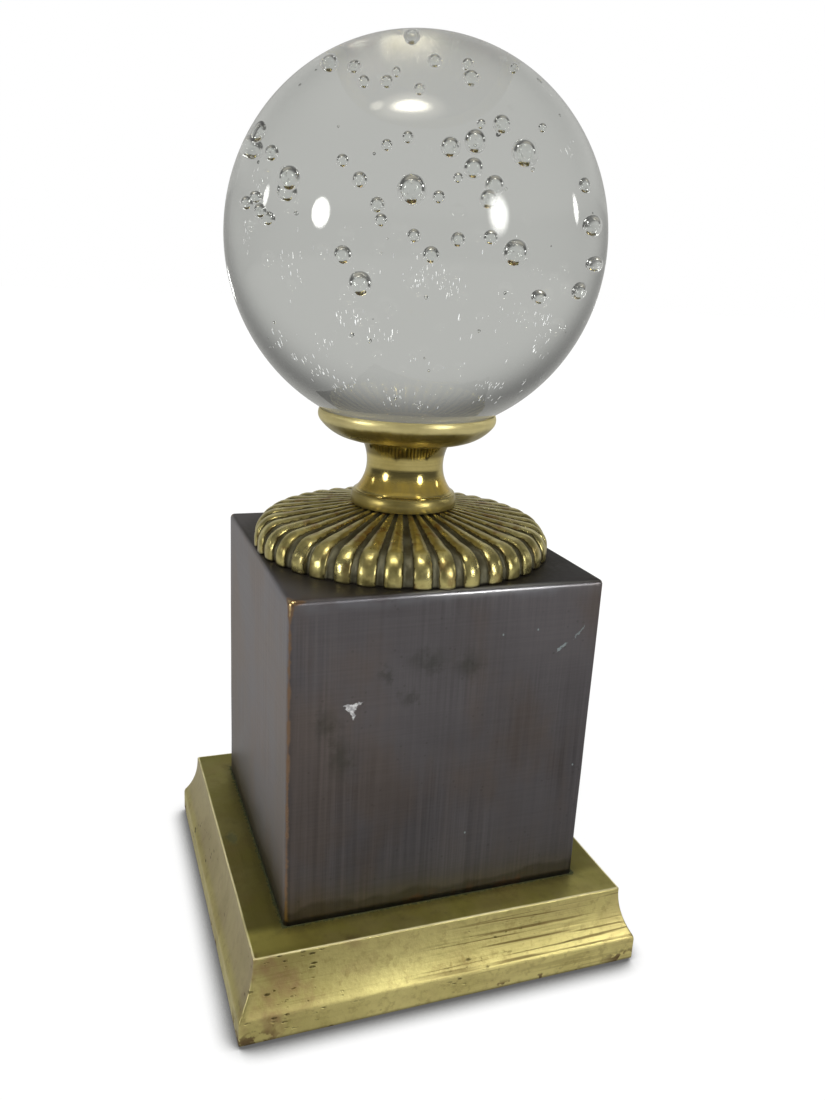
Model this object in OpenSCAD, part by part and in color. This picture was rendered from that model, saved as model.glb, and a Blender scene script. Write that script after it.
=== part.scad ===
// Crystal ball on a turned brass neck, a ribbed disc, a bronze block and a moulded plinth.
// One central rod clamps the stack; the glass ball lifts out of its cup.
// Millimetres. +Z is up, and the origin is the middle of the felt's underside.

/* [Ball] */
// Diameter of the glass ball
ball_d = 100; // [96:1:104]
// Gap between the ball and what it rests in
seat_gap = 0.3; // [0.2:0.05:0.4]

/* [Cup] */
// Height of the cup, from its underside to its rim
cup_h = 8.8; // [8:0.1:9.6]
// Diameter of the flat part of the cup's underside
cup_foot_d = 25.8; // [24:0.2:27]
// Radius of the cup's rounded side
cup_side_r = 12.5; // [12:0.1:13]
// Metal left under the ball at the middle of the cup
cup_floor = 1.6; // [1.4:0.1:2]
// Diameter of the leather ring in the cup
seat_d = 42; // [34:1:43]
// Thickness of the leather ring
seat_t = 0.9; // [0.6:0.1:1.2]

/* [Neck] */
// Height of the waisted spool
spool_h = 13.8; // [12:0.2:18]
// Diameter of the spool at its waist
spool_waist_d = 21.6; // [19:0.2:23]
// Diameter of the spool at its foot
spool_foot_d = 27.8; // [26:0.2:28]
// Diameter of the spool under the cup
spool_top_d = 24.6; // [24:0.2:25.6]
// Height of the waist above the spool's foot
waist_h = 7.4; // [6.5:0.1:8]
// Height of the ring under the spool
ring_h = 3.8; // [3:0.1:5]
// Diameter of the ring
ring_d = 30; // [29.4:0.2:32]

/* [Ribbed disc] */
// Widest diameter of the disc
disc_d = 84; // [76:1:84]
// Height of the disc at its middle
disc_h = 12.3; // [11.5:0.1:14]
// Radius of the disc's rolled rim
disc_rim_r = 5.4; // [5:0.1:5.8]
// Number of ribs around the disc
rib_count = 38; // [30:1:40]
// Depth of the grooves between the ribs at the rim
groove_depth = 1.5; // [1:0.1:1.8]

/* [Block] */
// Width of the block, both ways
block_w = 85; // [85:1:96]
// Height of the block
block_h = 90; // [60:1:120]
// Thickness of the block's sheet
block_wall = 2.4; // [1.6:0.2:3]
// Radius of the block's softened edges
block_edge_r = 1.4; // [0.8:0.1:1.5]

/* [Plinth] */
// Ledge of the plinth around the block
plinth_ledge = 10; // [8:0.5:14]
// How far the lip stands out past the plinth's top
plinth_lip = 4.3; // [3:0.1:6]
// Height of the plinth without its felt
plinth_h = 21.7; // [19:0.1:26]
// Height of the lip, up to its crest
lip_h = 7.6; // [6:0.1:9]
// Thickness of the plinth's walls and roof
plinth_wall = 4; // [3:0.1:4.5]

/* [Fixings] */
// Diameter of the tie rod
rod_d = 6; // [5:1:6]
// Thickness of the felt under the plinth
felt_t = 0.8; // [0.6:0.1:2]
// Thickness of the steel plate that backs the felt
plate_t = 1.2; // [1:0.1:1.6]
// Diameter of the base screws
screw_d = 3; // [2.5:0.5:3]

/* [Hidden] */
$fn = 96;
over = 1;                   // how far a cutter runs past the face it opens

// Levels, from the felt upwards
plinth_z = felt_t;
block_z = plinth_z + plinth_h;
disc_z = block_z + block_h;
ring_z = disc_z + disc_h;
spool_z = ring_z + ring_h;
cup_z = spool_z + spool_h;
ball_r = ball_d / 2;
seat_r = ball_r + seat_gap;
pocket_r = seat_r + seat_t;
ball_z = cup_z + cup_floor + pocket_r;

// Cup
cup_rim_round = 0.45;
boss_r = 5;
boss_h = 6.4;
boss_play = 0.15;
seat_bore_r = 12;

// Ribbed disc
disc_r = disc_d / 2;
rim_x = disc_r - disc_rim_r;
rim_z = 3.6;
hub_r = 15;
disc_slope = atan((disc_h - rim_z - disc_rim_r) / (rim_x - hub_r));
groove_in_r = 0.55;         // groove radius beside the neck ring
groove_out_r = 1.5;         // groove radius at the rim
groove_start = 14;          // the grooves start under the neck ring
groove_in_depth = 0.35;
disc_boss_r = 7;
disc_hollow_r = 34;
disc_hollow_h = 5.4;

// Block
block_half = block_w / 2;
block_in = block_w - 2 * block_wall;
block_top_t = 3;

// Plinth
plinth_top_half = block_half + plinth_ledge;
lip_half = plinth_top_half + plinth_lip;
cove_h = plinth_h - lip_h;
cove_r = (plinth_lip * plinth_lip + cove_h * cove_h) / (2 * plinth_lip);
lip_round = 0.6;
crest_round = 0.7;
roof_z = block_z - plinth_wall;
cavity_half = plinth_top_half - plinth_wall;
plate_rebate = 3;           // width of the step that the plate lies in
plate_half = cavity_half + plate_rebate;
plate_play = 0.3;
screw_post_r = 4.5;
screw_at = cavity_half - screw_post_r - 1;
felt_inset = 1;

// Fixings
rod_r = rod_d / 2;
hole_r = rod_r + 0.25;
washer_r = 12;
washer_t = 1.6;
lock_washer_r = 5.6;
lock_washer_t = 1.6;
lock_washer_slit = 0.9;
nut_flats = 10;
nut_h = 5;
rod_tail = 4;
washer_z = roof_z - washer_t;
lock_z = washer_z - lock_washer_t;
nut_z = lock_z - nut_h;
rod_end_z = nut_z - rod_tail;
rod_top_z = cup_z - 0.4;
screw_r = screw_d / 2;
screw_head_r = 2.7;
screw_len = 8;
screw_slot_w = 0.7;
screw_slot_h = 0.6;

// Upright cylinder between two heights
module post(r, z0, z1) {
    translate([0, 0, z0]) cylinder(r = r, h = z1 - z0);
}

// Square slab centred on the axis, given by half its width
module slab(half, z0, z1) {
    translate([-half, -half, z0]) cube([2 * half, 2 * half, z1 - z0]);
}

// Four copies, one in each corner of the plinth
module corners(at) {
    for (x = [-at, at])
        for (y = [-at, at])
            translate([x, y, 0]) children();
}

// ---- ball and cup ----

module glass_ball() {
    color([0.86, 0.88, 0.87, 0.4])
        translate([0, 0, ball_z]) sphere(r = ball_r, $fn = 128);
}

// Leather ring between two spheres about the ball's centre
module ball_seat() {
    color([0.55, 0.40, 0.26])
        rotate_extrude($fn = 128)
            translate([0, ball_z])
                intersection() {
                    difference() {
                        circle(r = pocket_r, $fn = 256);
                        circle(r = seat_r, $fn = 256);
                    }
                    translate([seat_bore_r, -pocket_r])
                        square([seat_d / 2 - seat_bore_r, pocket_r]);
                }
}

// Outer section of the dish: a flat foot and a side rounded about a ring
module cup_section() {
    foot_r = cup_foot_d / 2;
    rim_r = foot_r + sqrt(pow(cup_side_r, 2) - pow(cup_side_r - cup_h + cup_rim_round, 2));
    intersection() {
        union() {
            translate([foot_r, cup_side_r]) circle(r = cup_side_r, $fn = 192);
            square([foot_r, cup_h]);
        }
        union() {
            square([foot_r + cup_side_r, cup_h - cup_rim_round]);
            square([rim_r - cup_rim_round, cup_h]);
            translate([rim_r - cup_rim_round, cup_h - cup_rim_round])
                circle(r = cup_rim_round);
        }
    }
}

module ball_cup() {
    color([0.72, 0.60, 0.30])
        difference() {
            union() {
                translate([0, 0, cup_z]) rotate_extrude($fn = 128) cup_section();
                post(boss_r, cup_z - boss_h, cup_z + 0.5);
            }
            translate([0, 0, ball_z]) sphere(r = seat_r, $fn = 128);
            intersection() {
                translate([0, 0, ball_z]) sphere(r = pocket_r, $fn = 128);
                post(seat_d / 2 + 0.1, cup_z - over, cup_z + cup_h);
            }
            post(rod_r, cup_z - boss_h - over, rod_top_z);
        }
}

// ---- neck ----

// Section of the spool: two hollow curves that meet upright at the waist
module spool_section() {
    waist_r = spool_waist_d / 2;
    foot_r = spool_foot_d / 2;
    top_r = spool_top_d / 2;
    upper_h = spool_h - waist_h;
    foot_in = foot_r - waist_r;
    top_in = top_r - waist_r;
    lower_curve = (foot_in * foot_in + waist_h * waist_h) / (2 * foot_in);
    upper_curve = (top_in * top_in + upper_h * upper_h) / (2 * top_in);
    difference() {
        square([foot_r, spool_h]);
        intersection() {
            translate([waist_r + lower_curve, waist_h]) circle(r = lower_curve, $fn = 192);
            square([foot_r + over, waist_h]);
        }
        intersection() {
            translate([waist_r + upper_curve, waist_h]) circle(r = upper_curve, $fn = 192);
            translate([0, waist_h]) square([foot_r + over, upper_h + over]);
        }
    }
}

module neck_spool() {
    color([0.78, 0.62, 0.25])
        difference() {
            translate([0, 0, spool_z]) rotate_extrude($fn = 128) spool_section();
            post(hole_r, spool_z - over, cup_z + over);
            post(boss_r + boss_play, cup_z - boss_h - 0.3, cup_z + over);
        }
}

// Low ring with a barrel-shaped side
module neck_ring() {
    side_r = 4;
    bulge_z = 1.6;
    color([0.76, 0.61, 0.27])
        difference() {
            translate([0, 0, ring_z])
                rotate_extrude($fn = 128)
                    intersection() {
                        square([ring_d / 2, ring_h]);
                        union() {
                            square([ring_d / 2 - side_r, ring_h]);
                            translate([ring_d / 2 - side_r, bulge_z])
                                circle(r = side_r, $fn = 128);
                        }
                    }
            post(hole_r, ring_z - over, spool_z + over);
        }
}

// ---- ribbed disc ----

// Outer section of the disc: a sloping top that rolls over to an upright rim
module disc_section() {
    roll_x = rim_x + disc_rim_r * sin(disc_slope);
    roll_z = rim_z + disc_rim_r * cos(disc_slope);
    union() {
        polygon([[0, 0], [rim_x, 0], [rim_x, rim_z], [roll_x, roll_z], [hub_r, disc_h], [0, disc_h]]);
        square([disc_r, rim_z]);
        intersection() {
            translate([rim_x, rim_z]) circle(r = disc_rim_r, $fn = 128);
            square([disc_r, disc_h]);
        }
    }
}

// One groove: a cone along the sloping top, and a flute down the rim
module disc_groove() {
    run = disc_r - groove_start;
    drop = run * tan(disc_slope) + groove_depth - groove_in_depth - groove_out_r + groove_in_r;
    lie = atan(drop / run);
    start_z = disc_h + groove_in_r - groove_in_depth;
    translate([groove_start, 0, start_z])
        rotate([0, 90 + lie, 0])
            cylinder(r1 = groove_in_r, r2 = groove_out_r, h = run / cos(lie), $fn = 24);
    translate([disc_r + groove_out_r - groove_depth, 0, -over])
        cylinder(r = groove_out_r, h = disc_h, $fn = 24);
}

module fluted_disc() {
    color([0.70, 0.60, 0.30])
        translate([0, 0, disc_z])
            difference() {
                rotate_extrude($fn = 128) disc_section();
                for (i = [0 : rib_count - 1])
                    rotate([0, 0, (i + 0.5) * 360 / rib_count]) disc_groove();
                difference() {
                    post(disc_hollow_r, -over, disc_hollow_h);
                    post(disc_boss_r, -2 * over, disc_h);
                }
                post(hole_r, -over, disc_h + over);
            }
}

// ---- block ----

// Square with rounded corners, made of circles so that its corners stay true arcs
module round_square(w, h, r) {
    union() {
        translate([r, 0]) square([w - 2 * r, h]);
        translate([0, r]) square([w, h - 2 * r]);
        for (x = [r, w - r])
            for (y = [r, h - r])
                translate([x, y]) circle(r = r, $fn = 48);
    }
}

// Bar along X whose section is a rounded square; its foot runs on below the block
module block_bar() {
    sunk = 2 * block_edge_r;
    translate([-block_half, 0, 0])
        rotate([90, 0, 90])
            linear_extrude(block_w)
                translate([-block_half, block_z - sunk])
                    round_square(block_w, block_h + sunk, block_edge_r);
}

module block_shell() {
    color([0.27, 0.25, 0.27])
        difference() {
            intersection() {
                block_bar();
                rotate([0, 0, 90]) block_bar();
                translate([-block_half, -block_half, block_z])
                    linear_extrude(block_h) round_square(block_w, block_w, block_edge_r);
            }
            slab(block_in / 2, block_z - over, disc_z - block_top_t);
            post(hole_r, disc_z - block_top_t - over, disc_z + over);
        }
}

// ---- plinth ----

// Half section of the moulding: crisp top edge, cove, crest and upright lip
module plinth_half_section() {
    difference() {
        union() {
            translate([0, 0]) square([lip_half - lip_round, plinth_h]);
            translate([0, lip_round]) square([lip_half, plinth_h - lip_round]);
            translate([lip_half - lip_round, lip_round]) circle(r = lip_round, $fn = 48);
        }
        translate([plinth_top_half + cove_r, plinth_h]) circle(r = cove_r, $fn = 256);
        translate([lip_half - crest_round, lip_h]) rotate(45) square(4 * crest_round);
    }
}

module plinth_bar() {
    rotate([90, 0, 0])
        translate([0, 0, -lip_half])
            linear_extrude(2 * lip_half)
                union() {
                    plinth_half_section();
                    mirror([1, 0]) plinth_half_section();
                }
}

module plinth() {
    color([0.62, 0.55, 0.26])
        difference() {
            translate([0, 0, plinth_z])
                intersection() {
                    plinth_bar();
                    rotate([0, 0, 90]) plinth_bar();
                }
            difference() {
                slab(cavity_half, plinth_z - over, roof_z);
                corners(screw_at) post(screw_post_r, plinth_z + plate_t, block_z);
            }
            slab(plate_half + plate_play, plinth_z - over, plinth_z + plate_t);
            post(hole_r, roof_z - over, block_z + over);
            corners(screw_at) post(screw_r, plinth_z, plinth_z + screw_len + over);
        }
}

// ---- fixings ----

module tie_rod() {
    color([0.60, 0.60, 0.62])
        post(rod_r, rod_end_z, rod_top_z);
}

module rod_washer() {
    color([0.66, 0.66, 0.68])
        difference() {
            post(washer_r, washer_z, roof_z);
            post(hole_r, washer_z - over, roof_z + over);
        }
}

// Spring washer with a slanting split
module rod_lock_washer() {
    color([0.45, 0.45, 0.47])
        difference() {
            post(lock_washer_r, lock_z, washer_z);
            post(hole_r, lock_z - over, washer_z + over);
            translate([lock_washer_r / 2, 0, lock_z + lock_washer_t / 2])
                rotate([20, 0, 0])
                    cube([lock_washer_r + 2, lock_washer_slit, 4 * lock_washer_t], center = true);
        }
}

// Hex nut with its corners turned off at both faces
module rod_nut() {
    corner_r = nut_flats / sqrt(3);
    lean = 1.6;
    color([0.70, 0.70, 0.72])
        translate([0, 0, nut_z])
            difference() {
                intersection() {
                    cylinder(r = corner_r, h = nut_h, $fn = 6);
                    cylinder(r1 = nut_flats / 2, r2 = nut_flats / 2 + nut_h * lean, h = nut_h);
                    cylinder(r1 = nut_flats / 2 + nut_h * lean, r2 = nut_flats / 2, h = nut_h);
                }
                post(rod_r, -over, nut_h + over);
            }
}

// Countersunk screw, head down, with a driver's slot
module base_screw() {
    difference() {
        union() {
            cylinder(r1 = screw_head_r, r2 = screw_r, h = plate_t);
            post(screw_r, 0, screw_len);
        }
        translate([0, 0, screw_slot_h / 2 - 0.01])
            cube([3 * screw_head_r, screw_slot_w, screw_slot_h], center = true);
    }
}

module base_plate() {
    color([0.50, 0.51, 0.53])
        difference() {
            slab(plate_half, plinth_z, plinth_z + plate_t);
            corners(screw_at)
                translate([0, 0, plinth_z])
                    cylinder(r1 = screw_head_r, r2 = screw_r, h = plate_t);
        }
}

module base_screws() {
    color([0.66, 0.62, 0.50])
        corners(screw_at) translate([0, 0, plinth_z]) base_screw();
}

module base_felt() {
    color([0.13, 0.14, 0.13])
        linear_extrude(felt_t)
            translate([felt_inset - lip_half, felt_inset - lip_half])
                round_square(2 * (lip_half - felt_inset), 2 * (lip_half - felt_inset), 2);
}

glass_ball();
ball_seat();
ball_cup();
neck_spool();
neck_ring();
fluted_disc();
block_shell();
plinth();
tie_rod();
rod_washer();
rod_lock_washer();
rod_nut();
base_plate();
base_screws();
base_felt();
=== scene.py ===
import math
import random

import bmesh
import bpy
import numpy as np
from mathutils import Matrix, Vector, noise


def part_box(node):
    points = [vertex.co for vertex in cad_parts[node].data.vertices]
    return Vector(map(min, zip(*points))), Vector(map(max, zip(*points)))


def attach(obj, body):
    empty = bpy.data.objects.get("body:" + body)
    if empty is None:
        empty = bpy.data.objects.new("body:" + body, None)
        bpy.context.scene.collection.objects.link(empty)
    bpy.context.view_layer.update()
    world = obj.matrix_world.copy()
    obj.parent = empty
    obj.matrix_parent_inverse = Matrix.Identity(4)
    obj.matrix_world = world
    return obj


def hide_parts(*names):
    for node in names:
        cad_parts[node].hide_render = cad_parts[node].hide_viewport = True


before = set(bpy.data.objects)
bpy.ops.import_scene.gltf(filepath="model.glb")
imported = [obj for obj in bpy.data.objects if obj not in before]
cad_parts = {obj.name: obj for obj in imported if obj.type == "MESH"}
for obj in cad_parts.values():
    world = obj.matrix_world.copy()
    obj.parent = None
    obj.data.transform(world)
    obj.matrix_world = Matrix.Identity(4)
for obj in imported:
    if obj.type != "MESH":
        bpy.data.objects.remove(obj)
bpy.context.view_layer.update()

MM = 0.001

# ---- places, read from the frame ----

BALL_LO, BALL_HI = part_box("glass_ball")
CUP_LO, CUP_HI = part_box("ball_cup")
SPOOL_LO, SPOOL_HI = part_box("neck_spool")
RING_LO, RING_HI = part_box("neck_ring")
DISC_LO, DISC_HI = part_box("fluted_disc")
BLOCK_LO, BLOCK_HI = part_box("block_shell")
PLINTH_LO, PLINTH_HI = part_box("plinth")
FELT_LO, FELT_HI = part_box("base_felt")
_, SEAT_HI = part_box("ball_seat")

BALL_R = (BALL_HI[2] - BALL_LO[2]) / 2
BALL_C = Vector((0, 0, (BALL_HI[2] + BALL_LO[2]) / 2))
BLOCK_HALF = BLOCK_HI[0]
LIP_HALF = PLINTH_HI[0]
PLINTH_Z = PLINTH_LO[2]
BLOCK_Z = BLOCK_LO[2]
DISC_Z = DISC_LO[2]
RING_Z = RING_LO[2]
SPOOL_Z = SPOOL_LO[2]
CUP_Z = SPOOL_HI[2]
GLASS_IOR = 1.5

# How much higher the cup's underside and the spool's head are than in the CAD model
NECK_RISE = 0.8 * MM

# ---- camera ----

# The place of the camera in metres, its angles in degrees and its lens in mm
EYE = Vector((-0.0885, -0.2449, 0.1871))
YAW, PITCH, ROLL = 20.63, -16.36, 3.04
LENS = 30.56


def make_camera():
    """The photograph's view: close, from the left front and a little above, with a slight roll."""
    data = bpy.data.cameras.new("camera")
    data.lens = LENS
    data.sensor_width = 36
    data.clip_start = 0.01
    data.clip_end = 50
    cam = bpy.data.objects.new("camera", data)
    turn = Matrix.Rotation(math.radians(-YAW), 4, "Z")
    tip = Matrix.Rotation(math.radians(90 + PITCH), 4, "X")
    roll = Matrix.Rotation(math.radians(ROLL), 4, "Z")
    cam.matrix_world = Matrix.Translation(EYE) @ turn @ tip @ roll
    bpy.context.scene.collection.objects.link(cam)
    bpy.context.scene.camera = cam
    return cam


camera = make_camera()

# ---- node helpers ----


class Number:
    """A number that varies over a surface, with plain arithmetic."""

    def __init__(self, nodes, socket):
        self.nodes = nodes
        self.socket = socket

    def __add__(self, other):
        return self.nodes.math("ADD", self, other)

    def __radd__(self, other):
        return self.nodes.math("ADD", other, self)

    def __sub__(self, other):
        return self.nodes.math("SUBTRACT", self, other)

    def __rsub__(self, other):
        return self.nodes.math("SUBTRACT", other, self)

    def __mul__(self, other):
        return self.nodes.math("MULTIPLY", self, other)

    def __truediv__(self, other):
        return self.nodes.math("DIVIDE", self, other)

    def __abs__(self):
        return self.nodes.math("ABSOLUTE", self)


def clamped(number):
    """The same number, kept between 0 and 1."""
    number.socket.node.use_clamp = True
    return number


class Nodes:
    """Short names for building the node tree of a material or a world."""

    def __init__(self, owner, output):
        owner.use_nodes = True
        self.owner = owner
        self.tree = owner.node_tree
        self.tree.nodes.clear()
        self.out = self.make(output)
        self.coords = self.make("TexCoord").outputs
        self.place = self.coords["Object"]
        self.normal = self.coords["Normal"]

    def make(self, kind, **inputs):
        """A new node; an underscore in an input's name stands for a space."""
        node = self.tree.nodes.new("ShaderNode" + kind)
        self.fill(node, inputs)
        return node

    def fill(self, node, inputs):
        for name, value in inputs.items():
            self.put(node.inputs[name.replace("_", " ")], value)

    def put(self, socket, value):
        """Links another node's output to a socket, or sets a plain value on it."""
        if isinstance(value, Number):
            value = value.socket
        if isinstance(value, bpy.types.NodeSocket):
            self.tree.links.new(value, socket)
        else:
            socket.default_value = value

    def set(self, **values):
        """Sets or links inputs of the principled shader."""
        self.fill(self.shader, values)

    def math(self, op, a, b=0.0):
        node = self.make("Math")
        node.operation = op
        self.put(node.inputs[0], a)
        self.put(node.inputs[1], b)
        return Number(self, node.outputs[0])

    def most(self, a, b):
        return self.math("MAXIMUM", a, b)

    def least(self, a, b):
        return self.math("MINIMUM", a, b)

    def length(self, x, y):
        return self.math("SQRT", x * x + y * y)

    def vector(self, op, out, a, b=(0, 0, 0)):
        node = self.make("VectorMath")
        node.operation = op
        self.put(node.inputs[0], a)
        self.put(node.inputs[1], b)
        return node.outputs[out]

    def stretch(self, scale, shift=(0, 0, 0), turn=(0, 0, 0)):
        node = self.make("Mapping", Vector=self.place, Location=shift, Rotation=turn, Scale=scale)
        return node.outputs[0]

    def noise(self, scale, detail=4.0, rough=0.55, vector=None, distort=0.0):
        node = self.make("TexNoise", Vector=vector or self.place, Scale=scale, Detail=detail)
        self.fill(node, {"Roughness": rough, "Distortion": distort})
        return Number(self, node.outputs["Fac"])

    def cells(self, scale, vector=None):
        node = self.make("TexVoronoi", Vector=vector or self.place, Scale=scale)
        return Number(self, node.outputs["Distance"])

    def ramp(self, value, low, high, to_low=0.0, to_high=1.0):
        """A smooth step of the value from low to high, given as to_low to to_high."""
        node = self.make("MapRange", Value=value, From_Min=low, From_Max=high)
        self.fill(node, {"To Min": to_low, "To Max": to_high})
        node.interpolation_type = "SMOOTHSTEP"
        return Number(self, node.outputs["Result"])

    def blend(self, amount, a, b, mode="MIX"):
        """Two colours mixed: all of a where the amount is 0, all of b where it is 1."""
        node = self.make("Mix", Factor=amount)
        node.data_type = "RGBA"
        node.blend_type = mode
        for name, value in (("A", a), ("B", b)):
            self.put([s for s in node.inputs if s.name == name and s.type == "RGBA"][0], value)
        return [s for s in node.outputs if s.type == "RGBA"][0]

    def coat(self, amount, colour):
        """Lays another colour over the one so far."""
        self.colour = self.blend(amount, self.colour, colour)

    def shade(self, number):
        """Multiplies the colour so far by a number."""
        grey = self.make("CombineColor", Red=number, Green=number, Blue=number)
        self.colour = self.blend(1.0, self.colour, grey.outputs[0], "MULTIPLY")

    def patches(self, scale, detail, low, high, to_low=0.0, to_high=1.0):
        """Soft-edged patches of noise."""
        return self.ramp(self.noise(scale, detail), low, high, to_low, to_high)

    def streaks(self, stretch, detail, rough, distort=0.0, **how):
        """Noise drawn out along an axis: the larger its number in stretch, the finer it is."""
        return self.noise(1.0, detail, rough, self.stretch(stretch, **how), distort)

    def paint(self, name):
        """A number painted on the mesh's points."""
        node = self.make("Attribute")
        node.attribute_name = name
        return Number(self, node.outputs["Fac"])

    def axis(self, name, vector=None):
        node = self.make("SeparateXYZ", Vector=vector or self.place)
        return Number(self, node.outputs[name])

    def facing(self, name):
        return self.axis(name, self.normal)

    def bump(self, height, depth):
        return self.make("Bump", Strength=1.0, Distance=depth, Height=height).outputs[0]

    def show(self, direct, reflected):
        """Shows one shader to the camera, and the other in reflections and through glass."""
        pick = self.make("MixShader")
        self.put(pick.inputs[0], self.make("LightPath").outputs["Is Camera Ray"])
        self.put(pick.inputs[1], reflected.outputs[0])
        self.put(pick.inputs[2], direct.outputs[0])
        self.put(self.out.inputs["Surface"], pick.outputs[0])


def new_material(name):
    """The nodes of a new material, with a principled shader."""
    n = Nodes(bpy.data.materials.new(name), "OutputMaterial")
    n.shader = n.make("BsdfPrincipled")
    n.put(n.out.inputs["Surface"], n.shader.outputs[0])
    return n


def rgb(r, g, b):
    """A colour in linear light."""
    return (r, g, b, 1.0)


# ---- materials ----

# Stretch of the fine lines that turning leaves round a brass part
TURNED = (60, 60, 2600)


def glass_material():
    """Clear cast glass, with a faint unevenness in its surface."""
    n = new_material("clear_glass")
    n.set(Base_Color=rgb(0.97, 0.985, 0.975), Roughness=0, IOR=GLASS_IOR)
    n.set(Transmission_Weight=1)
    n.set(Normal=n.bump(n.noise(55, detail=1), 0.00004))
    return n.owner


def patina_bronze():
    """Dark bronze: a dull grey-brown patina, brushed both ways, worn to metal on its edges and lighter
    towards the top; painted light: the left face lighter, a painted shadow round the disc and over the
    top's right, a pale painted sheen below the top edge and a painted highlight along the top front edge.
    """
    n = new_material("dark_bronze")
    upright = n.streaks((800, 800, 11), 5, 0.65, 0.1)
    fine_upright = n.streaks((2300, 2300, 30), 2, 0.5)
    level = n.streaks((24, 24, 1700), 3, 0.6)
    patch = n.noise(24, 5, 0.6, distort=0.4)
    warm = n.noise(46, 4, 0.6, n.stretch((1, 1, 0.5), shift=(3, 1, 2)))
    warm += n.ramp(n.axis("X"), 0.005, -0.035, 0, 0.08)
    n.colour = n.blend(n.ramp(warm, 0.45, 0.7), rgb(0.134, 0.124, 0.132), rgb(0.14, 0.118, 0.112))
    shade = 1 + n.ramp(level, 0.3, 0.7, -0.035, 0.035)
    brushed = n.ramp(upright, 0.3, 0.7) - 0.5
    brushed *= n.patches(38, 2, 0.38, 0.62, 0.12, 0.34)
    shade += brushed
    shade *= n.ramp(patch, 0.3, 0.72, 0.88, 1.12)
    # Painted light: the face turned to the left is made lighter.
    shade *= n.ramp(n.facing("X"), -0.6, -0.95, 1, 1.8)
    shade *= n.ramp(n.axis("Z"), 0.03, 0.105, 0.86, 1.16)
    tide = n.axis("Z") - BLOCK_Z + n.patches(60, 3, 0.3, 0.7, -0.0015, 0.0015)
    shade *= n.ramp(tide, 0.0035, 0.005, 0.68, 1)
    upward = n.ramp(n.facing("Z"), 0.7, 0.95)
    # Painted shadow on the top round the disc, and painted shade over the top's right.
    disc_shadow = upward * n.ramp(n.length(n.axis("X"), n.axis("Y")), 0.054, 0.043)
    shadow_side = upward * n.ramp(n.axis("X"), -0.03, 0.012)
    shade *= 1 - shadow_side * 0.55
    n.shade(shade)
    n.coat(disc_shadow * 0.75, rgb(0.052, 0.047, 0.04))
    speck = n.ramp(n.cells(420), 0.2, 0.09) * n.patches(90, 2, 0.5, 0.6)
    n.coat(speck * 0.22, rgb(0.05, 0.046, 0.042))
    n.coat(smudges(n) * 0.42, rgb(0.055, 0.058, 0.045))
    # Painted highlight: a pale grey line along the top front edge, smoother there.
    edge_highlight = n.ramp(n.paint("edge_highlight"), 0.15, 0.85) * 0.75
    # Painted sheen: a pale blue-grey band just below the top edge.
    highlight_band = n.ramp(n.axis("Z"), 0.1078, 0.1114) * (1 - upward)
    highlight_band *= n.patches(150, 3, 0.36, 0.62, 0.3, 1.3)
    n.coat(highlight_band * 0.3, rgb(0.26, 0.265, 0.3))
    n.coat(edge_highlight, rgb(0.6, 0.6, 0.63))
    worn = n.paint("wear") + n.patches(300, 3, 0.3, 0.7, -0.16, 0.08)
    copper = n.blend(n.ramp(worn, 0.74, 1.02), rgb(0.27, 0.175, 0.115), rgb(0.85, 0.62, 0.3))
    n.coat(n.ramp(worn, 0.36, 0.64), copper)
    rust = n.ramp(tide, 0.0045, 0.001) * n.patches(150, 3, 0.57, 0.66)
    n.coat(rust * 0.35, rgb(0.16, 0.075, 0.05))
    chip, scratch = chip_and_scratches(n)
    n.coat(scratch, rgb(0.42, 0.5, 0.52))
    flake = n.patches(1500, 3, 0.35, 0.65)
    n.coat(chip, n.blend(flake, rgb(0.36, 0.36, 0.38), rgb(0.74, 0.74, 0.75)))
    rough = n.ramp(patch, 0.3, 0.7, 0.4, 0.5) + n.ramp(upright, 0.3, 0.7, -0.04, 0.04)
    rough -= n.ramp(worn, 0.2, 0.7) * 0.14
    rough += upward * 0.1
    rough -= edge_highlight * 0.16
    n.set(Base_Color=n.colour, Metallic=n.ramp(chip, 0.2, 0.8, 1, 0.45), Roughness=rough)
    height = fine_upright * 0.5 + level * 0.2
    height += upright * 0.7
    n.set(Normal=n.bump(height - chip * 3, 0.00001))
    return n.owner


def oval(n, x, z, place, size, soft=0.35):
    """1 inside an oval spot on a side face, fading out past its rim."""
    reach = n.length((x - place[0]) / size[0], (z - place[1]) / size[1])
    return n.ramp(reach, 1 + soft, 1 - soft)


def inside(n, x, z, corners, soft=0.00012):
    """1 inside a convex shape on the front face, given by its corners, anticlockwise."""
    nearest = None
    for (ax, az), (bx, bz) in zip(corners, corners[1:] + corners[:1]):
        length = math.hypot(bx - ax, bz - az)
        ux, uz = (bx - ax) / length, (bz - az) / length
        gap = (z - az) * ux - (x - ax) * uz
        nearest = gap if nearest is None else n.least(nearest, gap)
    return n.ramp(nearest, -soft, soft)


def stroke(n, x, z, start, end, width):
    """A straight scratch on the front face that thins to both ends."""
    (ax, az), (bx, bz) = start, end
    half = math.hypot(bx - ax, bz - az) / 2
    ux, uz = (bx - ax) / (2 * half), (bz - az) / (2 * half)
    dx = x - (ax + bx) / 2
    dz = z - (az + bz) / 2
    along = (dx * ux + dz * uz) / half
    aside = (dz * ux - dx * uz) / width
    return n.ramp(along * along + aside * aside, 1.2, 0.5)


def front_mask(n):
    """1 on the block's front face."""
    return n.ramp(n.axis("Y"), -BLOCK_HALF + 0.002, -BLOCK_HALF + 0.001)


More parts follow.
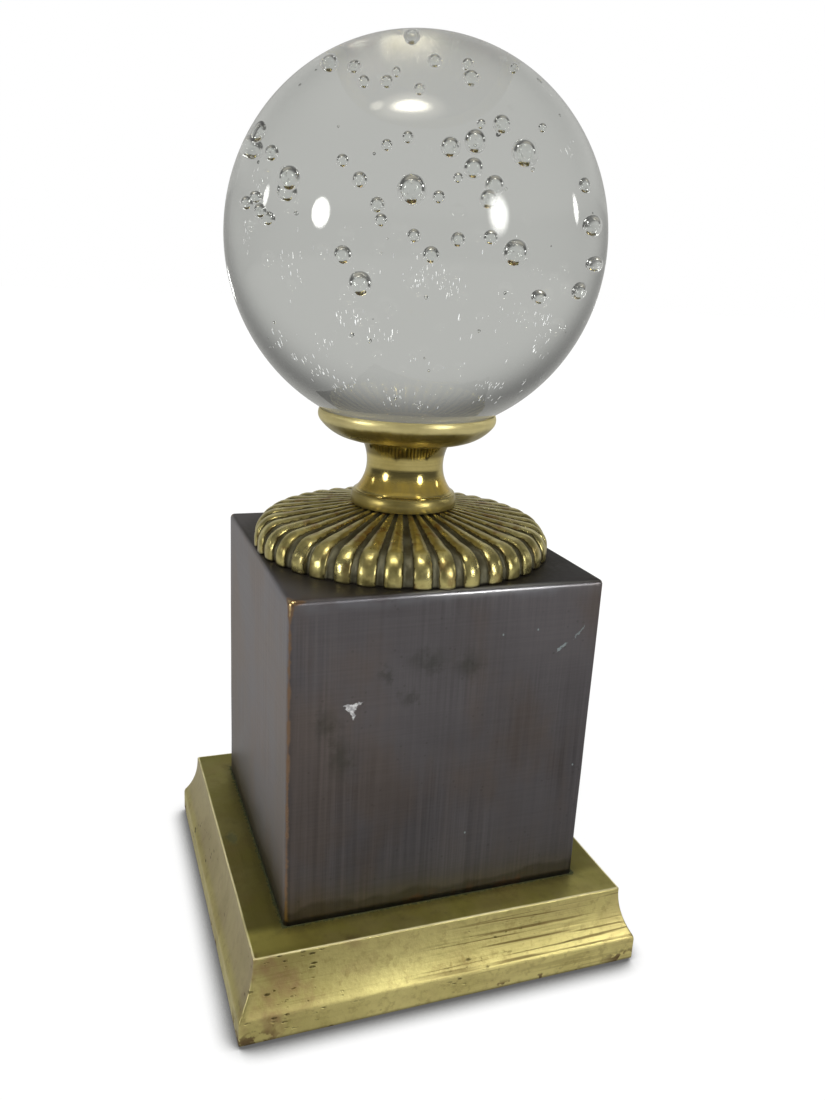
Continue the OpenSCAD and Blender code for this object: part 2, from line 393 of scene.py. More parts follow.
def smudges(n):
    """Faint dark blotches scattered over the block's front face."""
    ragged = n.ramp(n.noise(260, 4, 0.65), 0.2, 0.8, -0.0022, 0.0022)
    x = n.axis("X") + ragged
    z = n.axis("Z") - ragged
    spots = [
        ((0.0048, 0.0921), (0.0034, 0.0028)), ((-0.006, 0.094), (0.004, 0.0024)),
        ((-0.0174, 0.0915), (0.0013, 0.0017)), ((-0.0329, 0.0794), (0.0024, 0.0034)),
        ((-0.0109, 0.0845), (0.0016, 0.0022)), ((-0.029, 0.07), (0.0028, 0.0046)),
    ]
    total = None
    for place, size in spots:
        spot = oval(n, x, z, place, size, 0.9)
        total = spot if total is None else n.most(total, spot)
    return total * front_mask(n)


def chip_and_scratches(n):
    """Masks of the bright chip and the pale scratches on the block's front face."""
    x = n.axis("X") + n.patches(1300, 3, 0.2, 0.8, -0.00045, 0.00045)
    z = n.axis("Z") + n.patches(1100, 3, 0.2, 0.8, -0.00045, 0.00045)
    wing = [(-0.0282, 0.0841), (-0.0272, 0.0824), (-0.0253, 0.0827), (-0.0234, 0.0846)]
    tail = [(-0.0272, 0.0829), (-0.0254, 0.0797), (-0.0252, 0.0829)]
    chip = n.most(inside(n, x, z, wing), inside(n, x, z, tail))
    scratch = stroke(n, x, z, (0.03, 0.0933), (0.0333, 0.0957), 0.0004)
    fine = stroke(n, x, z, (0.035, 0.0963), (0.0381, 0.1004), 0.0003)
    scratch = n.most(scratch, fine * 0.7)
    for place in ((0.014, 0.0994), (0.024, 0.1), (0.0388, 0.0584), (0.0073, 0.0421)):
        scratch = n.most(scratch, oval(n, n.axis("X"), n.axis("Z"), place, (0.00022, 0.0003)))
    front = front_mask(n)
    return chip * front, scratch * front * 0.75


def brass(name, bright, dull, rough, grain, grain_depth=0.00001, spots=0.5, polish=0.5):
    """Aged brass: bright where it is worn, and on the cup where a highlight is painted, dull and olive
    elsewhere, with fine tool marks.
    """
    n = new_material(name)
    cloud = n.noise(60, 5, 0.6, distort=0.3)
    small = n.noise(340, 4, 0.6)
    streak = n.streaks(grain, 3, 0.6)
    dullness = n.ramp(cloud, 0.35, 0.7, 0, 0.75) + n.ramp(small, 0.45, 0.75, 0, spots)
    dullness = clamped(dullness - n.paint("wear") * 0.8)
    n.colour = n.blend(dullness, bright, dull)
    n.shade(n.ramp(streak, 0.3, 0.7, 0.92, 1.06))
    roughness = n.ramp(cloud, 0.3, 0.7, rough * 0.8, rough * 1.3) + n.ramp(streak, 0.3, 0.7, -0.03, 0.03)
    roughness = clamped(roughness - n.paint("wear") * (rough * polish))
    n.set(Base_Color=n.colour, Metallic=1, Roughness=roughness)
    n.set(Normal=n.bump(streak + small * 0.35, grain_depth))
    return n


def cup_brass():
    """The cup's brass: dull and olive below, with a broad pale band under the rim, a painted highlight."""
    n = brass(
        "cup_brass", rgb(0.6, 0.515, 0.24), rgb(0.34, 0.28, 0.1), 0.3, TURNED, polish=-0.35
    )
    ragged = n.patches(140, 4, 0.3, 0.7, -0.1, 0.1)
    # Painted highlight: a broad pale band under the rounded rim, less metallic there.
    highlight_band = n.ramp(n.paint("wear") + ragged, 0.18, 0.48)
    highlight_band *= n.patches(36, 3, 0.4, 0.62, 0.55, 1)
    n.coat(highlight_band * 0.72, rgb(0.92, 0.8, 0.38))
    n.set(Base_Color=n.colour, Metallic=n.ramp(highlight_band, 0, 1, 1, 0.74))
    return n.owner


def spool_brass():
    """The spool's brass: polished, with a painted reflection, amber, over its foot and painted shade, a
    brown band, under the cup.
    """
    n = brass(
        "spool_brass", rgb(0.71, 0.59, 0.235), rgb(0.5, 0.395, 0.125), 0.13, TURNED, 0.000006, 0.25
    )
    height = n.axis("Z") - SPOOL_Z
    upright = n.streaks((300, 300, 20), 3, 0.6)
    # Painted reflection: the ribbed disc's amber, mirrored on the spool's foot, less metallic there.
    foot_reflection = n.ramp(height, 0.0062, 0.0036) * n.ramp(height, 0.0002, 0.001)
    foot_reflection *= n.ramp(upright, 0.3, 0.7, 0.65, 1)
    n.coat(foot_reflection * 0.85, rgb(0.56, 0.385, 0.055))
    # Painted shade: a brown band just under the cup.
    tarnish_and_shade = n.ramp(height, 0.01, 0.0114) * n.ramp(height, 0.0143, 0.0134)
    n.coat(tarnish_and_shade * 0.8, rgb(0.17, 0.125, 0.03))
    n.set(Base_Color=n.colour, Metallic=1 - foot_reflection * 0.42)
    return n.owner


def ring_brass():
    """The ring's brass: satin, brown and olive."""
    n = brass(
        "ring_brass", rgb(0.62, 0.53, 0.22), rgb(0.39, 0.31, 0.1), 0.25, TURNED, 0.000008, 0.25
    )
    n.set(Base_Color=n.colour, Metallic=n.patches(90, 3, 0.35, 0.65, 0.8, 0.95))
    return n.owner


class PlinthZones:
    """Where a point is on the plinth, and the noises that several of its layers share."""

    def __init__(self, n):
        self.x, self.y, self.z = n.axis("X"), n.axis("Y"), n.axis("Z")
        self.above = self.z - PLINTH_Z
        self.upward = n.ramp(n.facing("Z"), 0.8, 0.97)
        self.sides = 1 - self.upward
        self.front = n.ramp(self.y, -0.049, -0.052)
        self.left_end = n.ramp(self.x - self.z * 0.5, -0.02, -0.056) * self.front
        self.right_end = n.ramp(self.x, -0.03, 0.03) * self.front
        self.cloud = n.noise(36, 5, 0.6, distort=0.3)
        self.small = n.noise(300, 4, 0.6)
        self.mottle = n.noise(420, 4, 0.65)
        self.grainy = self.right_end * 0.75 + self.front * n.ramp(self.cloud, 0.4, 0.6, 0.05, 0.25)


def plinth_base(n, at):
    """The brass itself: dull on the ledges behind and brown at the front left; painted light at the front
    right and on the front ledge, painted shade on faces turned left; the tops darker and the lip lighter.
    """
    dullness = n.ramp(at.cloud, 0.35, 0.7, 0.05, 0.65) + n.ramp(at.small, 0.5, 0.75, 0, 0.35)
    dullness += at.upward * n.ramp(at.y, -0.044, -0.04, 0.05, 0.6)
    dullness += at.left_end * 0.45
    # Painted highlight: the front right end brighter.
    dullness -= at.right_end * 0.25
    dullness = clamped(dullness - n.paint("wear"))
    n.colour = n.blend(dullness, rgb(0.66, 0.58, 0.24), rgb(0.42, 0.36, 0.135))
    # The tops darker and the lip lighter; painted light on the front ledge, painted shade on faces turned
    # left.
    front_ledge = at.upward * n.ramp(at.y, -0.04, -0.044)
    shade = 1 - at.upward * 0.27
    shade += front_ledge * n.ramp(at.x, 0.02, 0.05, 0.62, 0.2)
    shade *= n.ramp(n.facing("X"), -0.3, -0.8, 1, 0.86)
    shade *= n.ramp(at.above, 0.0078, 0.0062, 1, 1.13)
    n.shade(shade)
    brown = n.ramp(n.noise(85, 4, 0.6), 0.47, 0.66) * 0.5
    n.coat(clamped(brown * (0.35 + at.left_end * 1.3)), rgb(0.36, 0.235, 0.115))


def plinth_lines(n, at):
    """Fine dark lines along the sides, like wood grain. Gives where they are."""
    level = n.streaks((9, 9, 430), 1.5, 0.5, 0.04)
    coarse = n.streaks((24, 24, 700), 2, 0.5, 0.05, shift=(2, 5, 1))
    thin = n.ramp(abs(level - 0.5), 0.046, 0.01)
    thin *= n.ramp(n.streaks((35, 35, 500), 2, 0.5), 0.4, 0.56)
    short = n.ramp(coarse, 0.34, 0.27) * 0.12
    lines = clamped(clamped(thin + short) * (at.grainy * at.sides))
    lines *= n.ramp(at.above, 0.005, 0.0085, 0.35, 1)
    n.coat(lines * 0.85, rgb(0.25, 0.185, 0.07))
    return lines


def plinth_tints(n, at):
    """Mottled sides, a rosy cove on the left, olive ledges, and a painted highlight, pale and bright, on
    the worn edges.
    """
    n.coat(n.ramp(at.mottle, 0.5, 0.68) * (at.sides * 0.4), rgb(0.34, 0.255, 0.095))
    to_left = n.ramp(n.facing("X"), -0.5, -0.9)
    rosy = to_left * n.ramp(at.z, PLINTH_Z + 0.008, PLINTH_Z + 0.0105)
    n.coat(rosy * 0.4, rgb(0.5, 0.42, 0.32))
    olive = n.patches(70, 3, 0.35, 0.65, 0.35, 0.75) * at.upward
    n.coat(olive, n.blend(1, n.colour, rgb(0.93, 1, 0.62), "MULTIPLY"))
    # Painted highlight: a pale bright line on the worn edges.
    edge_rub_and_highlight = n.ramp(n.paint("wear"), 0.5, 0.92) * n.patches(45, 3, 0.35, 0.6, 0.55, 1)
    n.coat(edge_rub_and_highlight * 0.85, rgb(0.98, 0.9, 0.56))
    return edge_rub_and_highlight


def plinth_pits(n, at):
    """Small dark casting pits, in patches on the sides."""
    pit_at = n.cells(560, n.stretch((0.55, 0.55, 1.5)))
    pit = n.ramp(pit_at, 0.34, 0.18) * n.patches(210, 3, 0.5, 0.6)
    cluster = oval(n, at.x, at.z, (-0.0385, PLINTH_Z + 0.0085), (0.01, 0.0032), 0.7)
    patchy = clamped(n.patches(34, 2, 0.52, 0.66) + at.left_end * 0.6)
    patchy = clamped(patchy + cluster * at.front)
    pit = pit * patchy * at.sides
    n.coat(pit * 0.8, rgb(0.055, 0.045, 0.018))
    return pit


def plinth_dirt(n, at):
    """Green stains and brown marks: darker on the ledge towards the block, a green line at the joint, a
    green spot, brown chips low down and at the corners' feet, and darker along the foot.
    """
    joint = n.most(abs(at.x), abs(at.y)) - BLOCK_HALF
    joint += n.ramp(n.noise(700, 5, 0.8), 0.25, 0.75, -0.0005, 0.0007)
    green = n.ramp(joint, 0.0011, 0.0003) * at.upward
    # Darker on the ledge towards the block.
    n.coat(n.ramp(joint, 0.004, 0.0005, 0, 0.4) * at.upward, rgb(0.13, 0.115, 0.045))
    n.coat(green * 0.8, rgb(0.05, 0.075, 0.05))
    ragged = n.ramp(at.small, 0.3, 0.7, -0.0006, 0.0006)
    x, y = at.x + ragged, at.y - ragged
    stain = oval(n, x, y, (-0.0488, 0.001), (0.0013, 0.0034), 0.5) * at.upward
    n.coat(stain * 0.55, rgb(0.085, 0.115, 0.08))
    chips = n.ramp(at.above, 0.0032, 0.001) * n.patches(230, 3, 0.6, 0.66)
    at_corner = n.least(abs(at.x), abs(at.y))
    corner = n.ramp(at.above, 0.0052, 0.0015) * n.ramp(at_corner, 0.044, 0.052)
    corner *= n.patches(300, 3, 0.48, 0.56)
    chips = n.most(chips, corner * at.sides)
    n.coat(chips * 0.8, rgb(0.1, 0.045, 0.03))
    # Darker along the foot.
    n.coat(n.ramp(at.above, 0.0013, 0.0002, 0, 0.8), rgb(0.1, 0.08, 0.04))
    return n.most(green, n.most(stain, chips))


def plinth_brass():
    """The plinth's brass: wood-like grain along its sides, casting pits, green and brown stains."""
    n = new_material("plinth_brass")
    at = PlinthZones(n)
    plinth_base(n, at)
    lines = plinth_lines(n, at)
    edge_rub_and_highlight = plinth_tints(n, at)
    pit = plinth_pits(n, at)
    dirt = plinth_dirt(n, at)
    rough = n.ramp(at.cloud, 0.3, 0.7, 0.44, 0.53) + lines * 0.12
    rough += dirt * 0.3
    rough -= n.paint("wear") * 0.1
    metal = n.ramp(dirt, 0.1, 0.9, 1, 0.88) - edge_rub_and_highlight * 0.45
    n.set(Base_Color=n.colour, Metallic=metal, Roughness=rough)
    grain = at.mottle * 0.5 - lines * 0.22
    grain += n.streaks((40, 40, 1500), 3, 0.6) * at.grainy * 0.6
    scrape = n.streaks((700, 30, 30), 3, 0.6)
    height = (grain - pit * 1.2) * at.sides + (scrape + at.small) * (at.upward * 0.3)
    n.set(Normal=n.bump(height, 0.00016))
    return n.owner


def disc_brass():
    """The ribbed disc's brass: ribs worn bright towards their ends, also as a painted highlight, with brown
    patches, and grey-green patina in the valleys.
    """
    n = new_material("disc_brass")
    cloud = n.noise(120, 4, 0.6)
    small = n.noise(700, 4, 0.6)
    n.colour = n.blend(n.ramp(cloud, 0.35, 0.68), rgb(0.62, 0.545, 0.235), rgb(0.42, 0.355, 0.13))
    amber = n.ramp(n.noise(210, 4, 0.65, distort=0.5), 0.52, 0.64) * 0.75
    amber *= 1 - n.paint("wear") * 0.3
    n.coat(amber, rgb(0.33, 0.19, 0.065))
    groove = n.paint("groove") + n.patches(420, 4, 0.3, 0.7, -0.16, 0.16)
    # Worn and also painted as a highlight: the outer ends of the rib tops made bright.
    rub_and_highlight = n.ramp(n.paint("wear"), 0.45, 1) * n.patches(330, 3, 0.4, 0.62, 0, 0.75)
    n.coat(rub_and_highlight, rgb(0.76, 0.67, 0.27))
    deep = n.ramp(groove, 0.42, 0.78)
    cloudy = n.patches(150, 4, 0.35, 0.65)
    tarnish_and_shade = n.blend(cloudy, rgb(0.105, 0.094, 0.054), rgb(0.215, 0.205, 0.14))
    n.coat(deep, tarnish_and_shade)
    line = n.ramp(groove, 0.3, 0.5) * n.ramp(groove, 0.72, 0.52)
    n.coat(line * 0.9, rgb(0.07, 0.052, 0.02))
    n.coat(n.ramp(n.axis("Z") - DISC_Z, 0.0008, 0.0001, 0, 0.8), rgb(0.07, 0.065, 0.055))
    rough = n.ramp(cloud, 0.3, 0.7, 0.25, 0.36) + deep * 0.26
    n.set(Base_Color=n.colour, Metallic=n.ramp(deep, 0.2, 1, 0.95, 0.85), Roughness=rough)
    n.set(Normal=n.bump(n.noise(210, 3, 0.5) + small * 0.22, 0.00024))
    return n.owner


def glowing_seed_material():
    """Fine trapped air: specks too small to see through, made to glow white as painted glints."""
    n = new_material("seed_glints")
    n.set(Base_Color=rgb(0.9, 0.9, 0.9), Roughness=0.5)
    # Painted glints: the specks glow, though they are no lamp.
    n.set(Emission_Color=n.blend(n.noise(300, 2), rgb(0.85, 0.92, 1), rgb(1, 0.96, 0.86)))
    n.set(Emission_Strength=n.patches(500, 2, 0.35, 0.65, 0.35, 1.05))
    n.set(Normal=n.bump(n.noise(2000, 2), 0.00005))
    return n.owner


def steel(name, colour, dark, rough):
    """Plain fixing steel, with a fine scatter of dull spots."""
    n = new_material(name)
    cloud = n.noise(170, 4, 0.6)
    fine = n.noise(1200, 3, 0.6)
    n.set(Base_Color=n.blend(n.ramp(cloud, 0.4, 0.7), colour, dark), Metallic=1)
    n.set(Roughness=n.ramp(cloud, 0.3, 0.7, rough, rough + 0.12) + fine * 0.06)
    n.set(Normal=n.bump(fine, 0.00001))
    return n.owner


def felt_material():
    """Dark green wool felt, with a fuzzy mat of fibres."""
    n = new_material("green_felt")
    fibre = n.streaks((2600, 900, 1400), 4, 0.7, 1.5, turn=(0, 0, 0.6))
    other = n.streaks((800, 2400, 1300), 4, 0.7, 1.5, turn=(0, 0, -0.4))
    mat = (fibre + other) * 0.5
    n.colour = n.blend(n.ramp(mat, 0.35, 0.65), rgb(0.012, 0.018, 0.012), rgb(0.045, 0.06, 0.042))
    n.set(Base_Color=n.colour, Roughness=0.95, Sheen_Weight=0.3, Sheen_Roughness=0.5)
    n.set(Normal=n.bump(mat, 0.0004))
    return n.owner


def leather_material():
    """Tan leather: pores and creases."""
    n = new_material("seat_leather")
    pore = n.cells(1500)
    crease = n.noise(600, 5, 0.7, distort=0.8)
    n.colour = n.blend(n.ramp(crease, 0.35, 0.7), rgb(0.16, 0.075, 0.032), rgb(0.3, 0.16, 0.075))
    n.set(Base_Color=n.colour, Roughness=n.ramp(crease, 0.3, 0.7, 0.45, 0.65))
    n.set(Normal=n.bump(pore + crease, 0.00012))
    return n.owner


# ---- mesh helpers ----

# Steps round a turned piece, and the widest gap along its outline
TURN_STEPS = 256
TURN_GAP = 0.8 * MM

# Radius of the hole for the tie rod
BORE = 3.25 * MM


def add_object(name, bm, material, smooth=True):
    """Makes an object from a bmesh and puts it in the scene."""
    mesh = bpy.data.meshes.new(name)
    bm.to_mesh(mesh)
    bm.free()
    mesh.polygons.foreach_set("use_smooth", [smooth] * len(mesh.polygons))
    mesh.materials.append(material)
    obj = bpy.data.objects.new(name, mesh)
    bpy.context.scene.collection.objects.link(obj)
    return obj


def finish_mesh(name, verts, faces, material, paint):
    """Makes an object from points and faces, closes seams, turns faces outward and paints numbers on it."""
    mesh = bpy.data.meshes.new("points")
    mesh.from_pydata([tuple(v) for v in verts], [], faces)
    for key, values in paint.items():
        layer = mesh.attributes.new(key, "FLOAT", "POINT")
        layer.data.foreach_set("value", np.asarray(values, dtype=np.float32))
    bm = bmesh.new()
    bm.from_mesh(mesh)
    bpy.data.meshes.remove(mesh)
    bmesh.ops.remove_doubles(bm, verts=bm.verts, dist=1e-7)
    bmesh.ops.recalc_face_normals(bm, faces=bm.faces)
    return add_object(name, bm, material)


def ring_faces(around, count):
    """The faces between rows of points, count to a row, that go round and close on themselves."""
    faces = []
    for i in range(around):
        j = (i + 1) % around
        for k in range(count):
            m = (k + 1) % count
            faces.append((i * count + k, j * count + k, j * count + m, i * count + m))
    return faces


def stand_for(obj, node, body="stand"):
    """obj shows in place of a CAD node and rides on its body."""
    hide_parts(node)
    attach(obj, body)


def fade(gap, width):
    """1 at no distance, falling evenly to 0 at a width."""
    return max(0.0, 1 - gap / width)


def arc(cx, cz, r, start, end, steps):
    """Points on a circle from one angle to another, in degrees."""
    angles = np.radians(np.linspace(start, end, steps + 1))
    return [(cx + r * math.cos(a), cz + r * math.sin(a)) for a in angles]


def spaced(outline, step):
    """The outline with no gap wider than step, keeping its own points."""
    points = [outline[0]]
    for a, b in zip(outline, outline[1:]):
        count = max(1, math.ceil(math.dist(a, b) / step))
        for i in range(1, count + 1):
            points.append((a[0] + (b[0] - a[0]) * i / count, a[1] + (b[1] - a[1]) * i / count))
    return points


def lathe(name, outline, material, wear=None):
    """Turns a closed outline of (radius, height) about the axis, into a ring-shaped solid."""
    verts = []
    for i in range(TURN_STEPS):
        a = 2 * math.pi * i / TURN_STEPS
        verts += [(r * math.cos(a), r * math.sin(a), z) for r, z in outline]
    paint = {"wear": (wear or [0.0] * len(outline)) * TURN_STEPS}
    return finish_mesh(name, verts, ring_faces(TURN_STEPS, len(outline)), material, paint)


def square_ring(half, corner, per_side, per_corner):
    """Points round a square with rounded corners, anticlockwise from the right side's foot."""
    points = []
    flat = half - corner
    for quarter in range(4):
        turn = quarter * math.pi / 2
        side = [(half, -flat + 2 * flat * i / per_side) for i in range(per_side)]
        bend = [
            (flat + corner * math.cos(a), flat + corner * math.sin(a))
            for a in np.linspace(0, math.pi / 2, per_corner + 1)[:-1]
        ]
        for x, y in side + bend:
            cos, sin = math.cos(turn), math.sin(turn)
            points.append((x * cos - y * sin, x * sin + y * cos))
    return points


def square_loft(name, outline, material, per_side, per_corner, wobble, paint):
    """Sweeps a closed outline of (half width, height, corner radius) round a square."""
    verts, faces = [], []
    painted = {key: [] for key in paint}
    around = 4 * (per_side + per_corner)
    count = len(outline)
    for k, (half, z, corner) in enumerate(outline):
        m = (k + 1) % count
        for i, (x, y) in enumerate(square_ring(half, corner, per_side, per_corner)):
            point = Vector((x, y, z))
            point += wobble(point, k)
            verts.append(point)
            j = (i + 1) % around
            faces.append((k * around + i, k * around + j, m * around + j, m * around + i))
            for key, values in painted.items():
                values.append(paint[key](point, k))
    return finish_mesh(name, verts, faces, material, painted)


def soft_waves(point, size, seed):
    """A smooth, slow, repeatable unevenness between about -1 and 1."""
    p = point / size
    return (
        math.sin(p.x * 1.7 + seed) * math.cos(p.y * 1.3 - seed)
        + math.sin(p.z * 1.9 + 2 * seed + p.x)
        + math.cos(p.y * 2.3 + p.z * 0.8 + seed)
    ) / 3


# ---- ball ----

# Bubbles, each placed: across and up as they show on the ball, in ball radii, then how deep
# they lie from the front, 0 to 1, and how large they look, in ball radii
BUBBLES = [
    (-0.02, 0.16, 0.42, 0.073), (0.57, 0.35, 0.30, 0.065), (0.31, 0.41, 0.45, 0.057),
    (0.18, 0.38, 0.38, 0.048), (0.30, 0.27, 0.55, 0.052), (0.45, 0.50, 0.36, 0.045),
    (0.41, 0.18, 0.50, 0.050), (0.38, 0.11, 0.30, 0.043), (-0.66, 0.22, 0.40, 0.058),
    (-0.67, 0.15, 0.62, 0.052), (-0.82, 0.46, 0.35, 0.050), (-0.86, 0.38, 0.55, 0.050),
    (-0.75, 0.35, 0.45, 0.038), (-0.29, 0.21, 0.48, 0.040), (-0.38, 0.31, 0.52, 0.033),
    (-0.20, 0.08, 0.40, 0.038), (-0.18, 0.00, 0.56, 0.035), (0.12, 0.12, 0.60, 0.035),
    (0.22, 0.22, 0.66, 0.028), (-0.04, 0.43, 0.58, 0.031), (-0.15, 0.39, 0.50, 0.029),
    (0.29, 0.74, 0.40, 0.041), (0.27, 0.81, 0.55, 0.028), (0.02, 0.68, 0.45, 0.029),
    (-0.15, 0.72, 0.50, 0.031), (-0.10, 0.77, 0.60, 0.022), (0.10, 0.83, 0.42, 0.033),
    (-0.27, 0.72, 0.55, 0.029), (-0.32, 0.80, 0.42, 0.033), (-0.45, 0.82, 0.50, 0.040),
    (0.88, 0.18, 0.40, 0.036), (0.92, -0.03, 0.50, 0.050), (-0.01, -0.08, 0.50, 0.035),
    (0.22, -0.10, 0.45, 0.037), (0.39, -0.09, 0.60, 0.040), (0.66, 0.48, 0.50, 0.022),
    (0.52, -0.17, 0.36, 0.064), (-0.38, -0.18, 0.45, 0.047), (-0.29, -0.33, 0.40, 0.060),
    (0.08, -0.18, 0.52, 0.045), (0.85, -0.37, 0.40, 0.043), (0.64, -0.40, 0.68, 0.040),
    (0.93, -0.23, 0.55, 0.036), (-0.88, 0.09, 0.50, 0.032), (-0.83, 0.12, 0.60, 0.030),
    (-0.81, 0.05, 0.45, 0.034), (-0.77, 0.01, 0.62, 0.036), (-0.02, 0.96, 0.50, 0.035),
    (0.51, 0.79, 0.55, 0.020), (0.34, 0.50, 0.62, 0.024),
]

# How many small bubbles there are besides, how much of the ball's radius bubbles keep to,
# and how much larger they are made than they look
EXTRA_BUBBLES = 45
BUBBLE_REACH = 0.975
BUBBLE_SCALE = 1.07

# Patches of fine specks, which glow as painted glints, near the front of the skin: across, up, half width,
# half height, how many
SPECK_PATCHES = [
    (0.05, -0.29, 0.10, 0.06, 26), (0.17, -0.34, 0.06, 0.07, 14), (-0.65, -0.24, 0.06, 0.08, 12),
    (-0.34, -0.51, 0.07, 0.04, 12), (-0.17, -0.60, 0.09, 0.03, 12), (-0.47, -0.64, 0.04, 0.03, 5),
    (-0.73, -0.61, 0.04, 0.06, 12), (-0.60, -0.71, 0.06, 0.03, 9), (-0.48, -0.79, 0.06, 0.03, 12),
    (-0.37, -0.85, 0.06, 0.04, 12), (-0.11, -0.92, 0.06, 0.05, 14), (0.03, -0.96, 0.10, 0.02, 8),
    (0.38, -0.86, 0.08, 0.02, 14), (0.56, -0.86, 0.02, 0.04, 4), (0.36, -0.93, 0.09, 0.02, 8),
    (0.64, -0.60, 0.05, 0.12, 20), (0.50, -0.48, 0.07, 0.05, 8), (0.69, -0.50, 0.05, 0.06, 6),
    (-0.88, -0.08, 0.02, 0.10, 12), (-0.83, 0.20, 0.02, 0.09, 6), (0.79, 0.36, 0.04, 0.06, 8),
    (0.70, 0.68, 0.04, 0.05, 6), (0.00, -0.45, 0.70, 0.45, 40),
]


# How many specks are made for each one counted above, and how the oval that holds them on the
# ball differs from a circle of the ball's radius
SPECK_SHARE = 1.5
SPECKS_LOWER = 0.045
SPECKS_TALLER = 1.05


def first_hit(origin, direction, centre, radius):
    """Where a ray meets a sphere first."""
    to = centre - origin
    along = to.dot(direction)
    gap = to.length_squared - along * along
    return origin + direction * (along - math.sqrt(radius * radius - gap))


def bent(direction, normal, ratio):
    """A ray's direction after it enters glass."""
    cos_in = -direction.dot(normal)
    cos_out = math.sqrt(1 - ratio * ratio * (1 - cos_in * cos_in))
    return (direction * ratio + normal * (ratio * cos_in - cos_out)).normalized()


def bubble_place(across, up, depth):
    """The point inside the ball that shows at (across, up) on its outline, at that depth."""
    right, top, back = (camera.matrix_world.col[i].to_3d() for i in range(3))
    to_ball = BALL_C - EYE
    away = -to_ball.dot(back)
    reach = math.asin(BALL_R / to_ball.length)
    off = math.atan2(to_ball.dot(top), away)
    half = math.sin(reach) / math.sqrt(math.cos(off) ** 2 - math.sin(reach) ** 2)
    x = to_ball.dot(right) / away + across * half
    y = math.tan(off + reach) - half + up * half
    ray = (right * x + top * y - back).normalized()
    hit = first_hit(EYE, ray, BALL_C, BALL_R)
    inward = bent(ray, (hit - BALL_C).normalized(), 1 / GLASS_IOR)
    chord = 2 * -inward.dot(hit - BALL_C)
    return hit + inward * chord * depth


def all_bubbles():
    """Centres and radii of all bubbles, none touching another or the skin."""
    kept = []

    def clear(centre, radius):
        if (centre - BALL_C).length + radius > BALL_R * BUBBLE_REACH:
            return False
        return all((centre - c).length > radius + r + 0.2 * MM for c, r in kept)

    for across, up, depth, size in BUBBLES:
        enlarged = GLASS_IOR / (GLASS_IOR - (GLASS_IOR - 1) * 2 * depth)
        radius = size * BALL_R / enlarged * BUBBLE_SCALE
        centre = bubble_place(across, up, depth)
        if clear(centre, radius):
            kept.append((centre, radius))
    rng = random.Random(11)
    while len(kept) < len(BUBBLES) + EXTRA_BUBBLES:
        point = Vector((rng.uniform(-1, 1), rng.uniform(-1, 1), rng.uniform(-0.85, 0.95)))
        radius = rng.uniform(0.003, 0.008) * BALL_R
        centre = BALL_C + point * BALL_R
        if point.length < 0.93 and clear(centre, radius):
            kept.append((centre, radius))
    return kept


def put_bubble(bm, centre, radius):
    """A small sphere in the mesh that faces inwards, so that the glass has a hole there."""
    detail = 4 if radius > 0.03 * BALL_R else 3 if radius > 0.012 * BALL_R else 2
    place = Matrix.Translation(centre)
    made = bmesh.ops.create_icosphere(bm, subdivisions=detail, radius=radius, matrix=place)
    faces = {f for v in made["verts"] for f in v.link_faces}
    bmesh.ops.reverse_faces(bm, faces=list(faces))


def ball_piece(name, bm, material):
    """Makes a piece of the ball from a bmesh."""
    stand_for(add_object(name, bm, material), "glass_ball", "ball")


def make_ball(material):
    """The glass ball: a smooth skin, and an inner surface for each trapped bubble."""
    bm = bmesh.new()
    bubbles = all_bubbles()
    place = Matrix.Translation(BALL_C)
    bmesh.ops.create_icosphere(bm, subdivisions=7, radius=BALL_R, matrix=place)
    for centre, radius in bubbles:
        put_bubble(bm, centre, radius)
    ball_piece("bubble_glass_ball", bm, material)
    return bubbles


def upright_on_skin(centre):
    """A turn that lays a speck's length up the skin."""
    out = (centre - BALL_C).normalized()
    up = Vector((0, 0, 1)) - out * out.z
    return up.to_track_quat("Z", "Y").to_matrix().to_4x4()


def make_glowing_seeds(material, bubbles):
    """Fine upright specks near the skin, mostly in the lower half, where the glass was last to set; they
    glow, as painted glints.
    """
    bm = bmesh.new()
    rng = random.Random(23)
    for across, up, half_w, half_h, count in SPECK_PATCHES:
        for _ in range(round(count * SPECK_SHARE)):
            x = across + half_w * rng.uniform(-1, 1)
            y = up + half_h * rng.uniform(-1, 1)
            if math.hypot(x, (y + SPECKS_LOWER) / SPECKS_TALLER) > BUBBLE_REACH:
                continue
            centre = bubble_place(x, y, rng.uniform(0.02, 0.12))
            radius = rng.uniform(0.05, 0.09 if y > -0.5 else 0.13) * MM
            long = rng.uniform(1.5, 8.0)
            if any((centre - c).length < r + radius * long for c, r in bubbles):
                continue
            stretch = Matrix.Diagonal((1, 1, long, 1))
            place = Matrix.Translation(centre) @ upright_on_skin(centre) @ stretch
            bmesh.ops.create_icosphere(bm, subdivisions=1, radius=radius, matrix=place)
    ball_piece("glass_glowing_seeds", bm, material)


# ---- brass turnings ----


